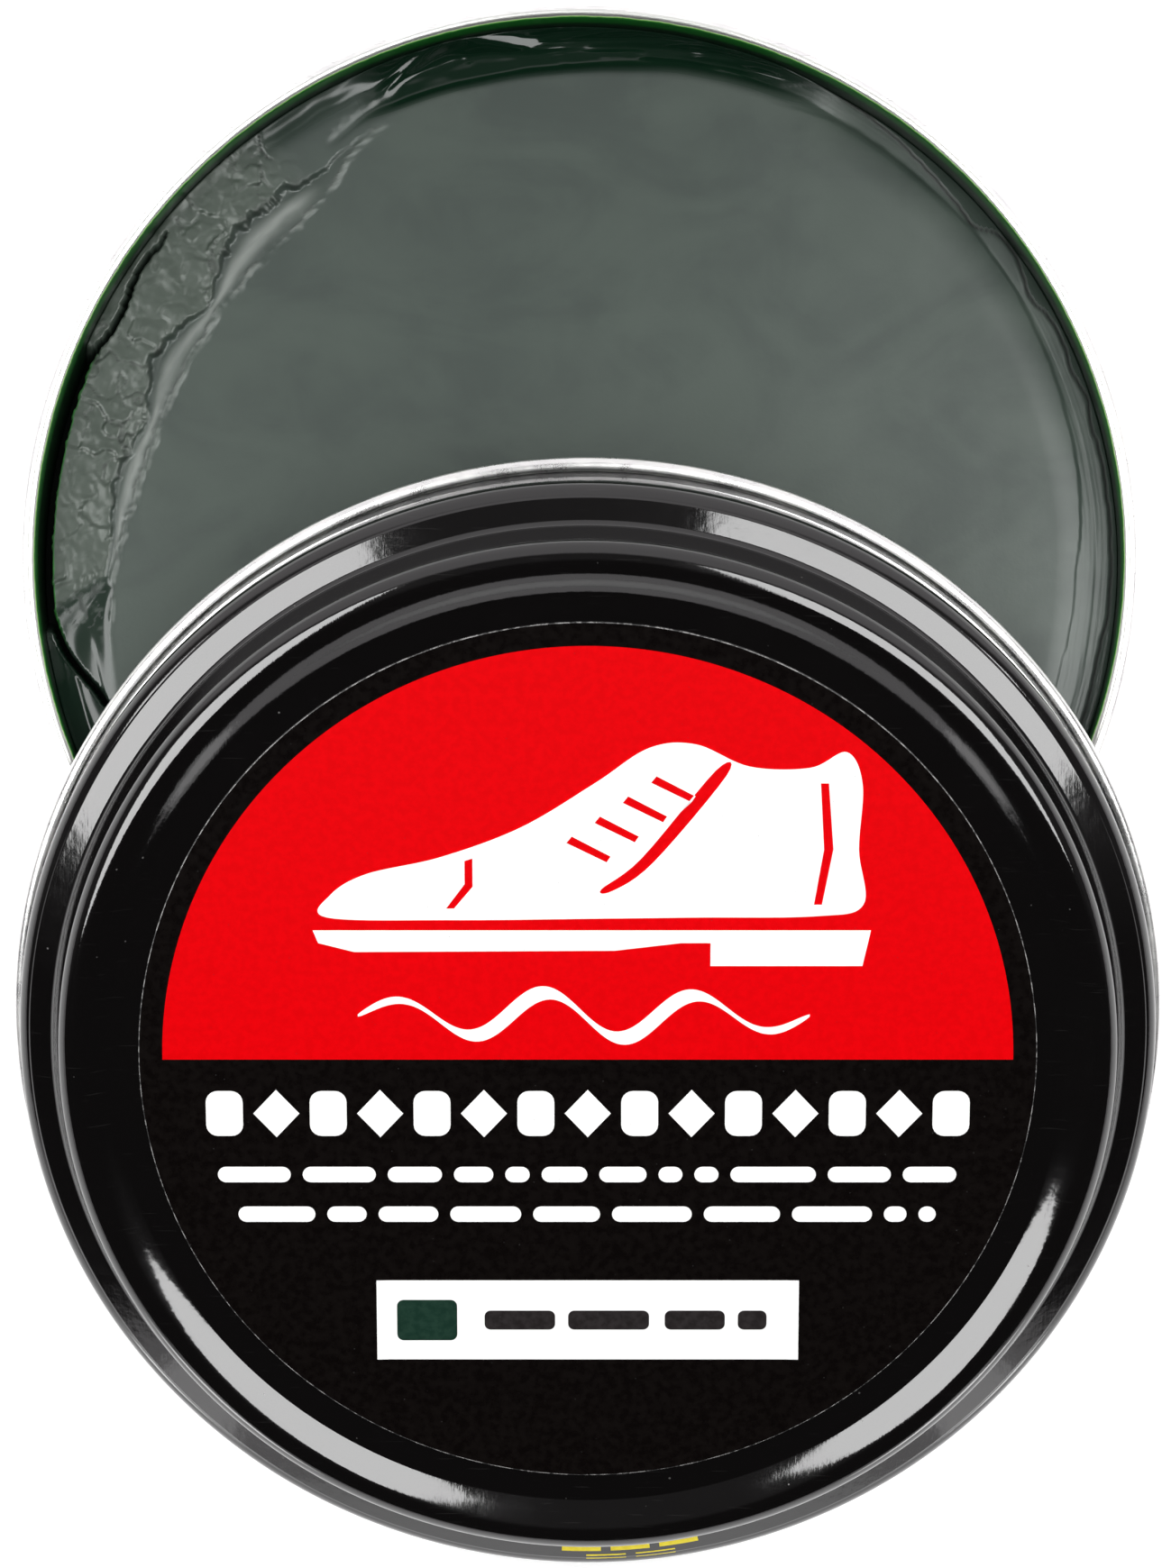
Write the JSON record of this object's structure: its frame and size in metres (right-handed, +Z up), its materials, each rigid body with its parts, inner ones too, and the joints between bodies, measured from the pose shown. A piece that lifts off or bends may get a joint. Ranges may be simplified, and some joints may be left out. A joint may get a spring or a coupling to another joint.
{
  "type": "shoe polish tin",
  "caption": "Round slip-lid tin of wax shoe polish, open, with the labelled lid leaning on the can.",
  "frame": {"origin": "centre of the can's flat underside, on the surface that the tin stands on", "axes": "+Z up, +Y from the leaning lid towards the far side of the can, +X to the right"},
  "size_m": [0.0885, 0.1212, 0.0393],
  "materials": {
    "tinplate": "bare bright tinplate, rolled rim",
    "lacquer": "glossy black lacquer, bare at the curl and inside",
    "wax": "satin dark green wax, glossy where torn or smeared",
    "label": "printed film, red half disc on black",
    "paper": "white paper sticker"
  },
  "bodies": {
    "can": {"base_can": "tinplate", "wax_cake": "wax"},
    "lid": {"lid_shell": "lacquer", "lid_label": "label", "shade_sticker": "paper"}
  },
  "joints": [
    {"name": "lid_lift", "type": "slide", "parent": "can", "child": "lid", "axis": [0, 0, 1], "range_m": [0, 0.06]}
  ]
}
